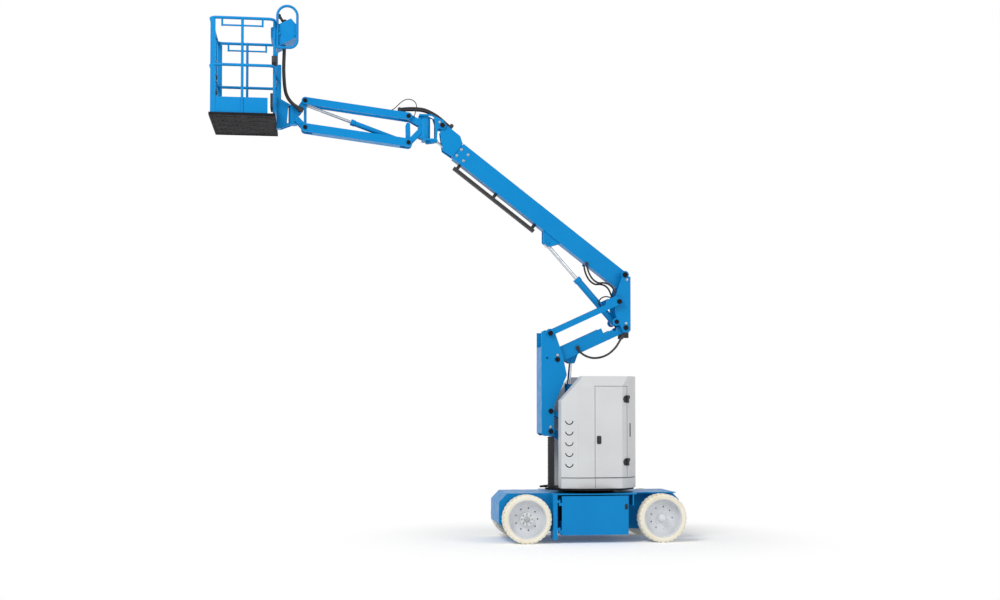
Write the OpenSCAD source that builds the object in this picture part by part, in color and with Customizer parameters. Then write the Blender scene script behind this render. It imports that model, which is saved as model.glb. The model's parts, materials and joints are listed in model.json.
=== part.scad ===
// Narrow electric articulating boom lift with a rotating jib, boom raised.
// Origin on the ground under the slewing axis. The platform end is -X, the steered end +X, +Z is up.

/* [Wheels] */
// Distance between the axles
wheelbase = 1600; // [1500:10:1800]
// Tyre diameter
tyre_d = 565; // [540:5:600]
// Tyre width
tyre_w = 178; // [150:2:190]
// Width over the tyres
width_over_tyres = 1190; // [1180:10:1300]
// Rim diameter inside the tyre
rim_d = 450; // [420:2:470]
// Number of tread notches round a tyre
tread_notches = 32; // [24:1:40]

/* [Chassis] */
// Length of the chassis
chassis_len = 2210; // [2100:10:2400]
// Height of the chassis top
chassis_top = 573; // [570:1:600]
// Height of the chassis underside
chassis_low = 130; // [110:5:160]
// Width of the spine between the battery trays
spine_w = 420; // [380:10:440]
// Room between a tyre and a battery tray
tray_room = 123.5; // [105:0.5:160]
// Face of a battery tray from the centre line
tray_face = 550; // [520:5:570]

/* [Turret] */
// Radius that the tail swings within
turret_r = 600; // [580:5:620]
// Face of the side covers from the centre line
cover_face = 500; // [470:5:520]
// Height of the top of the covers
cover_top = 1942; // [1900:5:2000]
// Half the width of the slot that the arms fold into
slot_half = 240; // [230:5:260]
// Thickness of the cover sheets
cover_t = 8; // [5:1:12]

/* [Riser] */
// Length of a riser arm between its pins
riser_len = 920; // [880:5:950]
// Angle of the riser arms above level
riser_angle = 24.7; // [15:0.1:35]
// Depth of a riser arm
riser_depth = 94; // [84:2:110]
// Diameter of the riser pins
riser_pin_d = 40; // [34:1:44]

/* [Boom] */
// Angle of the boom above level
boom_angle = 37.5; // [30:0.5:45]
// Length of the outer boom tube
boom_len = 2510; // [2400:10:2600]
// Depth of the outer boom tube
boom_depth = 220; // [200:2:240]
// Width of the outer boom tube
boom_w = 150; // [140:2:160]
// Wall of the boom tubes
boom_wall = 8; // [6:1:10]
// Diameter of the boom lift cylinder
lift_d = 82; // [70:1:90]

/* [Jib] */
// Length of the jib between its pins
jib_len = 1222; // [1100:2:1300]
// Angle of the jib above level
jib_angle = 7; // [0:0.5:12]
// Height between the upper and lower jib arms
jib_gap = 315; // [300:5:340]
// Diameter of the jib cylinder
jib_cyl_d = 64; // [50:1:70]

/* [Platform] */
// Length of the platform floor from the mount outwards
platform_len = 760; // [700:10:800]
// Width of the platform
platform_w = 1170; // [1000:10:1300]
// Height of the top rail above the floor
rail_h = 1100; // [1000:10:1150]
// Diameter of the rail tubes
rail_d = 34; // [28:1:40]
// Height of the toe board
toe_h = 180; // [150:5:220]

/* [Hidden] */
$fn = 64;
fit = 0.05;
seat = 0.3;
blue = "#0088cc";
grey = "#c9ccce";
black = "#1c1c1f";
cream = "#f0ead8";
steel = "#b8bcc0";

// Points in the side view, as [x, z]
function along(angle, len) = len * [-cos(angle), sin(angle)];
function mirrored_along(angle, len) = len * [cos(angle), sin(angle)];
turret_pin = [377, 906];
lower_link_up = [0, 240];
mid_low_pin = turret_pin + along(riser_angle, riser_len);
mid_high_pin = mid_low_pin + [80, 854];
upper_link_up = [-88, 310];
top_arm_pin = mid_high_pin + mirrored_along(riser_angle, riser_len);
boom_pin = top_arm_pin + [-9, 635];
lift_base = top_arm_pin + [-112, 71];
riser_cyl_s = 173;
riser_cyl_v = 88;
riser_cyl_low = mid_low_pin + mirrored_along(-riser_angle, riser_cyl_s)
    + riser_cyl_v * [sin(riser_angle), cos(riser_angle)];
riser_cyl_high = mid_high_pin + mirrored_along(riser_angle, riser_cyl_s)
    - riser_cyl_v * [-sin(riser_angle), cos(riser_angle)];

// A point given along (u) and above (v) the boom line
function on_boom(u, v) = boom_pin + along(boom_angle, u) + v * [sin(boom_angle), cos(boom_angle)];
boom_top_v = 48;
boom_bottom_v = boom_top_v - boom_depth;
boom_back_u = -30;
boom_front_u = boom_back_u + boom_len;
lift_lug = on_boom(971, -245);
tip_u = boom_front_u + 330;
tip_v = 60;
tip_pin = on_boom(tip_u, tip_v);
level_v = -123;
level_eye_u = boom_front_u + 283;
level_eye = on_boom(level_eye_u, level_v);

jib_turn = tip_pin + [-206, -25];
jib_base_low = jib_turn + [-196, -188];
jib_base_high = jib_base_low + [0, jib_gap];
jib_head_low = jib_base_low + along(jib_angle, jib_len);
jib_head_high = jib_head_low + [0, jib_gap];
platform_turn = jib_head_low + [-145, 150];
platform_back = platform_turn[0] - 171;
floor_z = jib_head_low[1] + 25;

// A plate drawn in the side view, between two places across the machine
module side_plate(y0, y1) {
    translate([0, y1, 0]) rotate([90, 0, 0]) linear_extrude(y1 - y0) children();
}

// The same plate on both sides, given by its distance from the centre line
module plate_pair(y0, y1) {
    side_plate(y0, y1) children();
    side_plate(-y1, -y0) children();
}

// A pin, tube or bore that runs across the machine at a side-view point
module cross_pin(p, d, y0, y1) {
    translate([p[0], y1, p[1]]) rotate([90, 0, 0]) cylinder(d = d, h = y1 - y0);
}

module cross_pin_pair(p, d, y0, y1) {
    cross_pin(p, d, y0, y1);
    cross_pin(p, d, -y1, -y0);
}

module disc(p, r) {
    translate(p) circle(r);
}

// A bar with round ends between two side-view points
module bar(a, b, half) {
    run = b - a;
    waist = 0.98 * half;
    translate(a) rotate(atan2(run[1], run[0])) translate([0, -waist]) square([norm(run), 2 * waist]);
    disc(a, half);
    disc(b, half);
}

// Places drawn in the boom's own frame, x along the boom and z above its line
module boom_frame() {
    translate([boom_pin[0], 0, boom_pin[1]]) rotate([0, boom_angle, 0]) mirror([1, 0, 0]) children();
}

// Places drawn along a line from a to b, x along it
module line_frame(a, b) {
    run = b - a;
    translate([a[0], 0, a[1]]) rotate([0, -atan2(run[1], run[0]), 0]) children();
}

module round_rod(d, x0, x1) {
    translate([x0, 0, 0]) rotate([0, 90, 0]) cylinder(d = d, h = x1 - x0);
}

// An eye across the machine at the start of a line
module eye(r, half, bore_d) {
    rotate([90, 0, 0]) difference() {
        translate([0, 0, -half]) cylinder(r = r, h = 2 * half);
        translate([0, 0, -half - 1]) cylinder(d = bore_d, h = 2 * half + 2);
    }
}

// Wheels
axle_z = tyre_d / 2;
tyre_out = width_over_tyres / 2;
tyre_in = tyre_out - tyre_w;
lug_h = 10;
rim_wall = 10;
hub_disc_y = tyre_in + 60;
hub_face = tyre_in + 10;

module at_wheel(end, side) {
    translate([end * wheelbase / 2, 0, axle_z]) rotate([-side * 90, 0, 0]) children();
}

module tyre(end, side) {
    color(cream) at_wheel(end, side) difference() {
        rotate_extrude() translate([0, tyre_in]) polygon([
            [rim_d / 2 + seat, 6], [tyre_d / 2 - 26, 0], [tyre_d / 2, 16],
            [tyre_d / 2, tyre_w - 16], [tyre_d / 2 - 26, tyre_w], [rim_d / 2 + seat, tyre_w - 6]]);
        for (i = [0 : tread_notches - 1], row = [0, 1])
            rotate([0, 0, (i + row / 2) * 360 / tread_notches])
                translate([tyre_d / 2 - lug_h, -9, tyre_in - 1 + row * (tyre_w - 44)])
                    cube([lug_h + 1, 18, 46]);
    }
}

module wheel(end, side, cap_r, cap_h) {
    hole_r = 130;
    bolts = 9;
    color(grey) at_wheel(end, side) difference() {
        union() {
            rotate_extrude() translate([0, tyre_in]) polygon([
                [rim_d / 2 - rim_wall, 14], [rim_d / 2, 14], [rim_d / 2, tyre_w - 14],
                [rim_d / 2 - rim_wall, tyre_w - 14]]);
            translate([0, 0, hub_disc_y]) cylinder(d = rim_d - rim_wall, h = 14);
            translate([0, 0, hub_face]) cylinder(r = 118, h = hub_disc_y - hub_face + 1);
            translate([0, 0, hub_disc_y + 13]) cylinder(r = cap_r, h = cap_h);
        }
        translate([0, 0, hub_face - 1]) cylinder(d = axle_d + 2 * fit, h = 60);
        for (i = [0 : bolts - 1])
            rotate([0, 0, i * 360 / bolts]) translate([hole_r, 0, hub_disc_y - 1]) cylinder(d = 18, h = 16);
    }
}

axle_d = 60;

// Chassis
chassis_end = chassis_len / 2;
well_half = tyre_d / 2 + 50;
well_spine = 130;
well_open = 330;
well_in = tyre_in - 40;
tray_half = wheelbase / 2 - tyre_d / 2 - tray_room;
tray_len = 2 * tray_half;
spine_half = spine_w / 2;
tray_floor = 95;
tray_hinge_x = -(tray_half + 28);
tray_hinge_y = tray_face - 10;
tray_hinges = [150, 470];
hinge_pin_d = 14;

module chassis_frame() {
    chamfer = 96;
    top_t = 12;
    tray_swing = 52;
    hinge_bar_w = 50;
    hinge_bar_z = 43;
    end_plate_h = 140;
    yoke_end = king_y + 28;
    steer_sweep = norm([tyre_d / 2, tyre_out - king_y]) + 8;
    color(blue) {
        difference() {
            union() {
                side_plate(-well_in + 10, well_in - 10) polygon([
                    [-chassis_end, chassis_low + 90], [-chassis_end, chassis_top - 100],
                    [-chassis_end + chamfer, chassis_top], [chassis_end - chamfer, chassis_top],
                    [chassis_end, chassis_top - 100], [chassis_end, chassis_low + 90],
                    [wheelbase / 2, chassis_low], [-wheelbase / 2, chassis_low]]);
                for (s = [-1, 1]) translate([-tray_half - 100, s > 0 ? 0 : -tray_face, chassis_top - top_t])
                    cube([tray_len + 200, tray_face, top_t]);
                for (s = [-1, 1], e = [-1, 1])
                    translate([e > 0 ? tray_half + tray_swing : -tray_half - tray_swing - hinge_bar_w,
                        s > 0 ? well_in - top_t : -tray_face,
                        e > 0 ? chassis_top - end_plate_h : hinge_bar_z])
                        cube([e > 0 ? top_t : hinge_bar_w, tray_face - well_in + top_t,
                            e > 0 ? end_plate_h : chassis_top - hinge_bar_z]);
            }
            for (s = [-1, 1]) translate([-tray_half - tray_swing, s > 0 ? spine_half : -tray_face - 1, 0])
                cube([tray_len + 2 * tray_swing, tray_face - spine_half + 1, chassis_top - top_t]);
            for (s = [-1, 1]) translate([wheelbase / 2 - steer_sweep, s > 0 ? well_spine : -well_in, 0])
                cube([steer_sweep + well_half, well_in - well_spine, chassis_top - top_t]);
            for (s = [-1, 1]) translate([wheelbase / 2 - well_half, s > 0 ? well_open : -well_in, 0])
                cube([2 * well_half, well_in - well_open, chassis_top + 1]);
        }
        for (s = [-1, 1], z = tray_hinges) difference() {
            translate([tray_hinge_x - 26, s * tray_hinge_y - 10, z]) cube([36, 20, 30]);
            translate([tray_hinge_x, s * tray_hinge_y, z - 1]) cylinder(d = hinge_pin_d + 2 * fit, h = 32);
        }
        for (s = [-1, 1]) difference() {
            translate([wheelbase / 2 - 50, s > 0 ? well_spine - 1 : -yoke_end, axle_z - 75])
                cube([100, yoke_end - well_spine + 1, 150]);
            translate([wheelbase / 2 - 51, s > 0 ? king_y - 34 : -king_y - 33, axle_z - 45])
                cube([102, 67, 90]);
            translate([wheelbase / 2, s * king_y, axle_z - 76]) cylinder(d = king_d + 2 * fit, h = 152);
        }
    }
}

king_y = tyre_in - 47;
king_d = 40;

module drive_hubs() {
    color(black) for (s = [-1, 1]) at_wheel(-1, s) {
        translate([0, 0, well_in - 10]) cylinder(r = 105, h = hub_face - seat - well_in + 10);
        translate([0, 0, hub_face - seat - 1]) cylinder(d = axle_d, h = 40);
    }
}

module knuckle(s) {
    color(black) {
        translate([wheelbase / 2, s * king_y, axle_z - 44]) cylinder(r = 28, h = 88);
        translate([wheelbase / 2, s * king_y, axle_z - 74]) cylinder(d = king_d, h = 148);
        at_wheel(1, s) translate([0, 0, king_y]) cylinder(r = 26, h = hub_face - seat - king_y);
        at_wheel(1, s) translate([0, 0, hub_face - 18]) cylinder(r = 41, h = 18 - seat);
        at_wheel(1, s) translate([0, 0, hub_face - seat - 1]) cylinder(d = axle_d, h = 40);
    }
}

slew_low = chassis_top;
slew_h = 34;
slew_r = 330;

module slew_ring() {
    color(black) translate([0, 0, slew_low]) difference() {
        cylinder(r = slew_r, h = slew_h);
        translate([0, 0, -1]) cylinder(r = slew_r - 70, h = slew_h + 2);
    }
}

// A battery tray swings out on the hinge at its platform end
module tray(s) {
    tray_t = 8;
    depth = tray_face - spine_half - 60;
    tray_top = 546;
    batteries = 4;
    battery_gap = 10;
    battery_start = 20;
    battery_pitch = (tray_len - battery_start - tray_t) / batteries;
    color(blue) {
        translate([-tray_half, s > 0 ? tray_face - tray_t : -tray_face, tray_floor])
            cube([tray_len, tray_t, tray_top - tray_floor]);
        translate([-tray_half, s > 0 ? tray_face - depth : -tray_face, tray_floor])
            cube([tray_len, depth, tray_t]);
        for (x = [-tray_half, tray_half - tray_t])
            translate([x, s > 0 ? tray_face - depth : -tray_face, tray_floor]) cube([tray_t, depth, 160]);
        for (z = tray_hinges) {
            translate([tray_hinge_x, s * tray_hinge_y, z - 34]) cylinder(d = hinge_pin_d, h = 70);
            translate([tray_hinge_x - 6, s * tray_hinge_y - 8, z - 34]) cube([40, 16, 32]);
        }
    }
    color(black) for (i = [0 : batteries - 1])
        translate([-tray_half + battery_start + i * battery_pitch,
            s > 0 ? tray_face - depth + 10 : -tray_face + tray_t + 4, tray_floor + tray_t])
            cube([battery_pitch - battery_gap, depth - tray_t - 14, 330]);
}

// Turret
turret_low = slew_low + slew_h + seat;
base_t = 22;
pivot_plate_in = 168;
pivot_plate_t = 16;

module turret_frame() {
    plate_top = turret_pin[1] + lower_link_up[1] + 70;
    color(black) difference() {
        translate([0, 0, turret_low]) cylinder(r = turret_r - 30, h = base_t);
        translate([-turret_r - 1, -slot_half + 40, turret_low - 1])
            cube([230, 2 * slot_half - 80, base_t + 2]);
    }
    color(blue) {
        plate_pair(pivot_plate_in, pivot_plate_in + pivot_plate_t) difference() {
            polygon([[60, turret_low + base_t], [470, turret_low + base_t], [470, plate_top],
                [300, plate_top]]);
            disc(turret_pin, riser_pin_d / 2 - 1);
        }
        for (p = [turret_pin, turret_pin + lower_link_up])
            cross_pin(p, riser_pin_d, -pivot_plate_in - 4, pivot_plate_in + 4);
        translate([440, -pivot_plate_in - 1, turret_low + base_t]) cube([30, 2 * pivot_plate_in + 2, 120]);
    }
}

skirt_z = turret_low + base_t;
cover_x0 = -380;
fold_x = -203;
front_face = 430;
door_x0 = 11;
door_x1 = 400;
door_hinge_x = 408;
door_hinge_y = 460;
door_hinges = [936, 1673];

// Plan of one side cover, kept inside the tail swing
module cover_plan(inset) {
    intersection() {
        circle(turret_r - inset, $fn = 96);
        polygon([[cover_x0 + inset, slot_half + inset], [cover_x0 + inset, front_face - inset],
            [fold_x, cover_face - inset], [turret_r, cover_face - inset], [turret_r, slot_half + inset]]);
    }
}

// Everything under the sloping front edge of a cover
module cover_envelope(inset, low) {
    slope_x0 = -421;
    slope_z0 = 1608;
    slope_x1 = -125;
    slope = (cover_top - slope_z0) / (slope_x1 - slope_x0);
    top_x = slope_x1 + 1.3 * inset;
    side_plate(1, turret_r) polygon([
        [-turret_r - 1, low], [turret_r, low], [turret_r, cover_top - inset], [top_x, cover_top - inset],
        [top_x - (cover_top - inset - low) / slope, low]]);
}

// The top edge of a cover leans in
module lean_cut(inset, low) {
    lean_z = 1820;
    lean_in = 60;
    face = cover_face - inset;
    rotate([90, 0, 90]) translate([0, 0, -turret_r - 2]) linear_extrude(2 * turret_r + 4) polygon([
        [2, low - 1], [face + 20, low - 1], [face + 20, lean_z - 40],
        [face - lean_in, cover_top + 1], [2, cover_top + 1]]);
}

module cover_solid(inset, low) {
    intersection() {
        translate([0, 0, low]) linear_extrude(cover_top - inset - low) cover_plan(inset);
        cover_envelope(inset, low);
        lean_cut(inset, low);
    }
}

module cover_shell() {
    difference() {
        cover_solid(0, skirt_z);
        cover_solid(cover_t, skirt_z - 20);
    }
}

module door_zone(grow) {
    translate([door_x0 - grow, cover_face - 130 - grow, 758 - grow])
        cube([door_x1 - door_x0 + 2 * grow, 140 + grow, 1820 - 758 + 2 * grow]);
}

door_gap = 5;

module cover() {
    vent_n = 5;
    color(grey) difference() {
        cover_shell();
        door_zone(door_gap);
        for (i = [0 : vent_n - 1])
            translate([-290, front_face - 40, 917 + i * 125]) rotate([-90, 0, 0]) difference() {
                cylinder(r = 46, h = 100);
                translate([-50, -60, -1]) cube([100, 60, 102]);
                translate([0, 0, -1]) cylinder(r = 34, h = 102);
            }
    }
    color(black) for (z = door_hinges) difference() {
        hinge_leaf(z + 1, 1);
        translate([door_hinge_x, door_hinge_y, z]) cylinder(d = hinge_pin_d + 2 * fit, h = 60);
    }
}

// Half of a door hinge, lying on the tail cover (side 1) or on the door (side -1)
module hinge_leaf(z, side) {
    leaf_angle = 5;
    knuckle = atan2(door_hinge_y, door_hinge_x);
    translate([door_hinge_x, door_hinge_y, z]) cylinder(d = hinge_pin_d + 10, h = 42);
    start = side > 0 ? knuckle - leaf_angle - 0.8 : knuckle + 0.2;
    translate([0, 0, z + 4]) rotate([0, 0, start]) rotate_extrude(angle = leaf_angle)
        translate([turret_r - 2, 0]) square([9, 34]);
}

module door() {
    color(grey) intersection() {
        cover_shell();
        door_zone(0);
    }
    color(black) for (z = door_hinges) {
        hinge_leaf(z - 43, -1);
        translate([door_hinge_x, door_hinge_y, z - 40]) cylinder(d = hinge_pin_d, h = 82);
    }
}

module power_unit() {
    color(black) {
        translate([-200, -430, turret_low + base_t]) cube([480, 150, 330]);
        translate([-160, -355, turret_low + base_t + 329]) cylinder(d = 120, h = 320);
        translate([80, -430, turret_low + base_t + 329]) cube([180, 150, 420]);
    }
}

module hydraulic_tank() {
    color(black) {
        translate([-200, 280, turret_low + base_t]) cube([480, 150, 620]);
        translate([40, 355, turret_low + base_t + 619]) cylinder(d = 70, h = 60);
    }
}

// Riser
mid_plate_in = 164;
mid_plate_out = 180;
top_plate_in = 144;
top_plate_out = 160;
arm_half_w = 120;
link_in = 184;
link_out = 208;
pin_bore = riser_pin_d + 2 * fit;
boss_r = 42;

module lower_arm() {
    bracket = riser_cyl_low;
    foot = mid_low_pin + mirrored_along(-riser_angle, riser_cyl_s);
    color(blue) difference() {
        union() {
            side_plate(-110, 110) bar(turret_pin, mid_low_pin, riser_depth / 2);
            cross_pin(turret_pin, 2 * boss_r, -pivot_plate_in + 2, pivot_plate_in - 2);
            plate_pair(46, 62) {
                bar(foot, bracket, 34);
                polygon([foot + [-90, 0], foot + [90, -30], bracket + [34, 0], bracket + [-34, 0]]);
            }
        }
        for (p = [turret_pin, mid_low_pin]) cross_pin(p, pin_bore, -200, 200);
    }
    color(steel) cross_pin(bracket, cyl_pin_d, -66, 66);
}

module lower_link() {
    a = turret_pin + lower_link_up;
    b = mid_low_pin + lower_link_up;
    color(blue) difference() {
        union() {
            plate_pair(118, 146) bar(a, b, 28);
            cross_pin(a, 70, -146, 146);
        }
        for (p = [a, b]) cross_pin(p, pin_bore, -200, 200);
    }
}

module mid_pivot() {
    left = mid_low_pin[0] - 113;
    web_t = 16;
    web_top = mid_high_pin[1] + 150;
    bottom = mid_low_pin[1] - 54;
    link_pin = mid_high_pin + upper_link_up;
    color(blue) {
        plate_pair(mid_plate_in, mid_plate_out) difference() {
            union() {
                polygon([[left, bottom + 30], [left + 30, bottom], [left + 150, bottom],
                    [left + 154, bottom + 364], [mid_high_pin[0] + 113, mid_high_pin[1] - 185],
                    [mid_high_pin[0] + 62, mid_high_pin[1] + 60], [link_pin[0] + 55, link_pin[1] + 20],
                    [link_pin[0] - 105, link_pin[1] + 20]]);
                disc(mid_low_pin, 46);
                disc(link_pin, 55);
            }
            disc([mid_high_pin[0] - 124, mid_high_pin[1] + 17], 14);
        }
        translate([left, -mid_plate_in - 1, bottom + 30])
            cube([web_t, 2 * mid_plate_in + 2, web_top - bottom - 30]);
        for (p = [mid_low_pin, mid_high_pin, mid_low_pin + lower_link_up])
            cross_pin(p, riser_pin_d, -mid_plate_out - 6, mid_plate_out + 6);
        cross_pin_pair(link_pin, riser_pin_d, mid_plate_out - 1, link_out + 6);
    }
}

cyl_pin_d = 36;

module upper_arm() {
    along_arm = [cos(riser_angle), sin(riser_angle)];
    up_arm = [-sin(riser_angle), cos(riser_angle)];
    wall = 16;
    guard_t = 6;
    eye_at = riser_cyl_high;
    notch = top_arm_pin - 124 * along_arm + 46 * up_arm;
    color(blue) difference() {
        union() {
            plate_pair(arm_half_w - wall, arm_half_w) bar(mid_high_pin, top_arm_pin, riser_depth / 2);
            translate([mid_high_pin[0], 0, mid_high_pin[1]]) rotate([0, -riser_angle, 0]) {
                translate([70, -arm_half_w, -riser_depth / 2]) cube([riser_len - 140, 2 * arm_half_w, 12]);
                for (y = [-arm_half_w, arm_half_w - guard_t])
                    translate([70, y, 0]) cube([580, guard_t, 117]);
            }
            for (p = [mid_high_pin, top_arm_pin])
                cross_pin(p, 2 * boss_r, p == mid_high_pin ? -mid_plate_in + 2 : -top_plate_in + 2,
                    p == mid_high_pin ? mid_plate_in - 2 : top_plate_in - 2);
            plate_pair(46, 62) polygon([eye_at + [-34, -34], eye_at + [34, -34],
                mid_high_pin + (riser_cyl_s + 110) * along_arm - 40 * up_arm,
                mid_high_pin + (riser_cyl_s - 90) * along_arm - 40 * up_arm]);
        }
        for (p = [mid_high_pin, top_arm_pin]) cross_pin(p, pin_bore, -200, 200);
        cross_pin(notch, cyl_pin_d + 18, -200, 200);
    }
    color(steel) cross_pin_pair(eye_at, cyl_pin_d, 45, 68);
}

module upper_link() {
    a = mid_high_pin + upper_link_up;
    b = top_arm_pin + upper_link_up;
    color(blue) difference() {
        plate_pair(link_in, link_out) {
            bar(a, b, 34);
            polygon([b + [-190, -110], b + [-150, 20], b + [-60, 62], b + [20, 50], b + [40, 0]]);
        }
        for (p = [a, b]) cross_pin(p, pin_bore, -300, 300);
    }
}

module upper_pivot() {
    link_pin = top_arm_pin + upper_link_up;
    right = top_arm_pin[0] + 58;
    web_t = 14;
    color(blue) {
        plate_pair(top_plate_in, top_plate_out) {
            polygon([top_arm_pin + [-34, -57], top_arm_pin + [34, -57], [right, top_arm_pin[1] - 30],
                [right, boom_pin[1] - 20], boom_pin + [-40, -27], link_pin + [-49, 29],
                link_pin + [-40, -150]]);
            disc(boom_pin, 48);
            disc(lift_base, 48);
        }
        translate([right - web_t, -top_plate_in - 1, top_arm_pin[1] + 60])
            cube([web_t, 2 * top_plate_in + 2, 420]);
        cross_pin(boom_pin, boom_pin_d, -top_plate_out - 8, top_plate_out + 8);
        cross_pin(top_arm_pin, riser_pin_d, -top_plate_out - 6, top_plate_out + 6);
        cross_pin(lift_base, cyl_pin_d, -top_plate_out - 4, top_plate_out + 4);
        cross_pin_pair(link_pin, 80, top_plate_out - 1, link_in - 2);
        cross_pin_pair(link_pin, riser_pin_d, top_plate_out - 1, link_out + 6);
    }
}

boom_pin_d = 44;

// Cylinders: the barrel hangs on its base pin and the rod slides in it
module barrel(a, b, d, rod_d, len, half, pin_d, eye_r, bore_x) {
    line_frame(a, b) difference() {
        union() {
            eye(eye_r, half, pin_d + 2 * fit);
            round_rod(d, d / 4, len - 50);
            round_rod(d + 12, len - 51, len);
        }
        rotate([90, 0, 0]) translate([0, 0, -half - 1]) cylinder(d = pin_d + 2 * fit, h = 2 * half + 2);
        round_rod(rod_d + 2 * fit, bore_x, len + 1);
    }
}

module rod(a, b, d, x0, half, eye_r, bore_d) {
    len = norm(b - a);
    line_frame(a, b) difference() {
        union() {
            translate([len, 0, 0]) eye(eye_r, half, bore_d);
            round_rod(d, x0, len - bore_d / 2 - 2);
        }
        translate([len, half + 1, 0]) rotate([90, 0, 0]) cylinder(d = bore_d, h = 2 * half + 2);
    }
}

riser_cyl_d = 84;
riser_rod_d = 44;
riser_barrel_len = 558;

module riser_barrel() {
    color(blue) barrel(riser_cyl_low, riser_cyl_high, riser_cyl_d, riser_rod_d, riser_barrel_len,
        half = 43, pin_d = cyl_pin_d, eye_r = 37, bore_x = 40);
}

module riser_rod() {
    color(steel) rod(riser_cyl_low, riser_cyl_high, riser_rod_d,
        x0 = 278, half = 42, eye_r = 29, bore_d = 38);
}

// Boom lift cylinder. Its rod's eye rests a little short of the lug's centre.
lift_rod_d = 45;
lift_barrel_len = 700;
lift_short = 26;
lift_drop = 1;
function turned(v, angle) = [v[0] * cos(angle) - v[1] * sin(angle), v[0] * sin(angle) + v[1] * cos(angle)];
lift_line = lift_lug - lift_base;
lift_eye = lift_base + turned(lift_line * (1 - lift_short / norm(lift_line)), lift_drop);

module lift_barrel() {
    color(blue) barrel(lift_base, lift_eye, lift_d, lift_rod_d, lift_barrel_len,
        half = 43, pin_d = cyl_pin_d, eye_r = 43, bore_x = 80);
}

module lift_rod() {
    color(steel) rod(lift_base, lift_eye, lift_rod_d,
        x0 = 390, half = 38, eye_r = 34, bore_d = cyl_pin_d + 2);
}

// Boom
boom_half = boom_w / 2;
ext_half = 60;
ext_top_v = 26;
ext_bottom_v = -150;
ext_back_u = 620;
ext_front_u = boom_front_u + 20;
nose_u = boom_front_u + 6;
pad_len = 60;

module boom() {
    color(blue) {
        difference() {
            union() {
                boom_frame() translate([boom_back_u, -boom_half, boom_bottom_v])
                    cube([boom_len, boom_w, boom_depth]);
                cross_pin(boom_pin, 96, -top_plate_in + 2, top_plate_in - 2);
            }
            boom_frame() translate([140, -boom_half + boom_wall, boom_bottom_v + boom_wall])
                cube([boom_len, boom_w - 2 * boom_wall, boom_depth - 2 * boom_wall]);
            cross_pin(boom_pin, boom_pin_d + 2 * fit, -300, 300);
        }
        plate_pair(42, 58) difference() {
            polygon([on_boom(840, boom_bottom_v + 2), on_boom(1100, boom_bottom_v + 2),
                on_boom(1012, -288), on_boom(930, -288)]);
            disc(lift_lug, 10);
        }
        cross_pin_pair(lift_lug, cyl_pin_d, 41, 72);
    }
    color(black) boom_frame() for (u = [1500, boom_front_u - pad_len - 10]) {
        for (y = [-boom_half + boom_wall - 1, ext_half + seat])
            translate([u, y, -110]) cube([pad_len, boom_half - boom_wall + 1 - ext_half - seat, 96]);
        translate([u, -40, boom_bottom_v + boom_wall - 1])
            cube([pad_len, 80, ext_bottom_v - seat - boom_bottom_v - boom_wall + 1]);
        translate([u, -40, ext_top_v + seat])
            cube([pad_len, 80, boom_top_v - boom_wall - ext_top_v - seat + 1]);
    }
}

nose_out = 74;
level_rod_d = 30;

module boom_extension() {
    color(blue) {
        boom_frame() difference() {
            translate([ext_back_u, -ext_half, ext_bottom_v])
                cube([ext_front_u - ext_back_u, 2 * ext_half, ext_top_v - ext_bottom_v]);
            translate([ext_back_u - 1, -ext_half + boom_wall, ext_bottom_v + boom_wall])
                cube([ext_front_u + 2 - ext_back_u, 2 * (ext_half - boom_wall),
                    ext_top_v - ext_bottom_v - 2 * boom_wall]);
        }
        difference() {
            plate_pair(ext_half - 1, nose_out) {
                polygon([on_boom(nose_u, -158), on_boom(nose_u + 143, -168), on_boom(nose_u + 300, -14),
                    on_boom(nose_u + 314, 98), on_boom(nose_u + 81, 95), on_boom(nose_u, 40)]);
                disc(tip_pin, 42);
            }
            cross_pin(tip_pin, level_pin_d + 2 * fit, -200, 200);
        }
        boom_frame() {
            translate([nose_u + 81, -nose_out + 1, 85]) cube([190, 2 * nose_out - 2, 10]);
            difference() {
                union() {
                    translate([nose_u + 1, -nose_out + 1, -158]) cube([12, 2 * nose_out - 2, 198]);
                    translate([nose_u - 346, 0, level_v]) rotate([0, 90, 0]) cylinder(d = 50, h = 440);
                }
                translate([nose_u - 326, 0, level_v]) rotate([0, 90, 0])
                    cylinder(d = level_rod_d + 2 * fit, h = 421);
            }
        }
    }
}

level_pin_d = 40;

module hose_tray() {
    tray_u0 = 1180;
    tray_u1 = boom_front_u - 80;
    color(black) boom_frame() {
        translate([tray_u0, -45, -262]) cube([tray_u1 - tray_u0, 90, 34]);
        for (u = [tray_u0 + 20, (tray_u0 + tray_u1) / 2, tray_u1 - 60])
            translate([u, -20, -229]) cube([40, 40, boom_bottom_v + 229]);
    }
}

module level_rod() {
    color(steel) boom_frame() difference() {
        union() {
            translate([nose_u - 156, 0, level_v]) rotate([0, 90, 0])
                cylinder(d = level_rod_d, h = level_eye_u - nose_u + 136);
            translate([level_eye_u, 0, level_v]) eye(28, 14, 32);
        }
        translate([level_eye_u, 20, level_v]) rotate([90, 0, 0]) cylinder(d = 32, h = 40);
    }
}

// Level bracket and jib
bracket_in = 78;
bracket_out = 94;
block_low = jib_turn[1] - 133;
block_high = jib_turn[1] + 134;
clasp_t = 20;
turn_pin_d = 70;

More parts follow.
